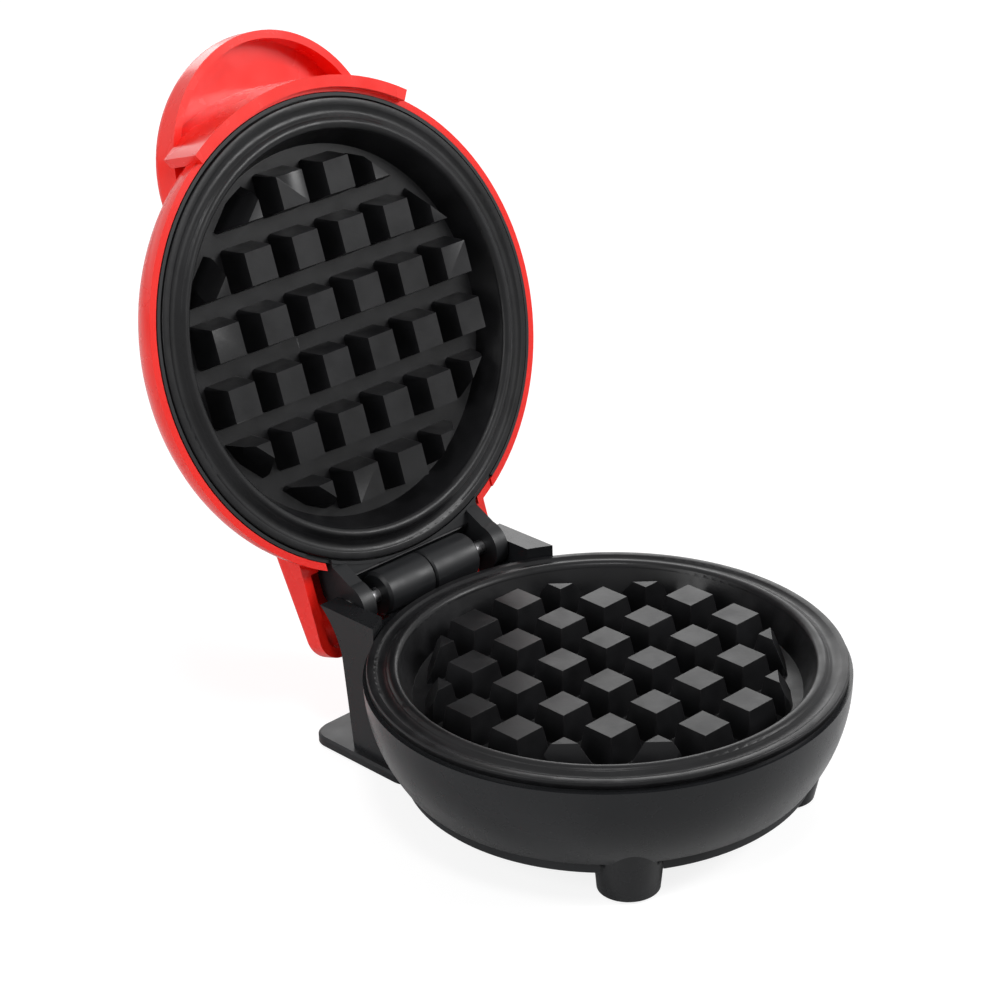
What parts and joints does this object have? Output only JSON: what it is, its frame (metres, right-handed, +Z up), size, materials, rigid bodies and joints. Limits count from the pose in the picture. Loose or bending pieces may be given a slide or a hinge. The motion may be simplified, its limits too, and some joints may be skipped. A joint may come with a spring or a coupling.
{
  "type": "waffle maker",
  "caption": "Mini round electric waffle maker: black bowl base on legs and a rear foot, hinged red domed lid standing open, deep square-peg plates",
  "frame": {"origin": "centre of the bounding box's bottom face, with the lid standing open as in the picture", "axes": "+Z up, hinge line along X, the lid opens towards +Y, so the handle of the closed lid points to -Y; the object is the same left and right of X = 0"},
  "size_m": [0.1288, 0.1958, 0.1788],
  "materials": {
    "lower_plate": "cast aluminium under a satin black non-stick coating",
    "lower_element": "dull metal tube",
    "lower_shield": "plain pressed sheet",
    "lower_plate_screws": "plain steel",
    "thermostat": "plain metal case",
    "thermal_fuse": "plain metal case",
    "base_bowl": "satin black moulded plastic",
    "bottom_cover": "satin black moulded plastic",
    "bottom_cover_screws": "plain steel",
    "rear_foot": "satin black moulded plastic",
    "rear_foot_screws": "plain steel",
    "front_pads": "soft black rubber",
    "rear_pads": "soft black rubber",
    "cord_gland": "satin black moulded plastic",
    "terminal_block": "natural nylon",
    "hinge_barrel_left": "satin black moulded plastic",
    "hinge_barrel_right": "satin black moulded plastic",
    "hinge_pin_left": "plain steel",
    "hinge_pin_right": "plain steel",
    "upper_plate": "cast aluminium under a satin black non-stick coating",
    "upper_element": "dull metal tube",
    "upper_shield": "plain pressed sheet",
    "upper_plate_screws": "plain steel",
    "lid_frame": "satin black moulded plastic",
    "lid_frame_screws": "plain steel",
    "top_cover": "glossy red plastic",
    "indicator_lens": "clear tinted plastic",
    "indicator_lamp": "small neon lamp"
  },
  "bodies": {
    "body": {"lower_plate": "lower_plate", "lower_element": "lower_element", "lower_shield": "lower_shield", "lower_plate_screws": "lower_plate_screws", "thermostat": "thermostat", "thermal_fuse": "thermal_fuse", "base_bowl": "base_bowl", "bottom_cover": "bottom_cover", "bottom_cover_screws": "bottom_cover_screws", "rear_foot": "rear_foot", "rear_foot_screws": "rear_foot_screws", "front_pads": "front_pads", "rear_pads": "rear_pads", "cord_gland": "cord_gland", "terminal_block": "terminal_block", "hinge_barrel_left": "hinge_barrel_left", "hinge_barrel_right": "hinge_barrel_right", "hinge_pin_left": "hinge_pin_left", "hinge_pin_right": "hinge_pin_right"},
    "lid": {"upper_plate": "upper_plate", "upper_element": "upper_element", "upper_shield": "upper_shield", "upper_plate_screws": "upper_plate_screws", "lid_frame": "lid_frame", "lid_frame_screws": "lid_frame_screws", "top_cover": "top_cover", "indicator_lens": "indicator_lens", "indicator_lamp": "indicator_lamp"}
  },
  "joints": [
    {"name": "lid_hinge", "type": "hinge", "parent": "body", "child": "lid", "pos_m": [0, 0.03269, 0.04], "axis": [1, 0, 0], "range_deg": [0, 107.34]}
  ]
}
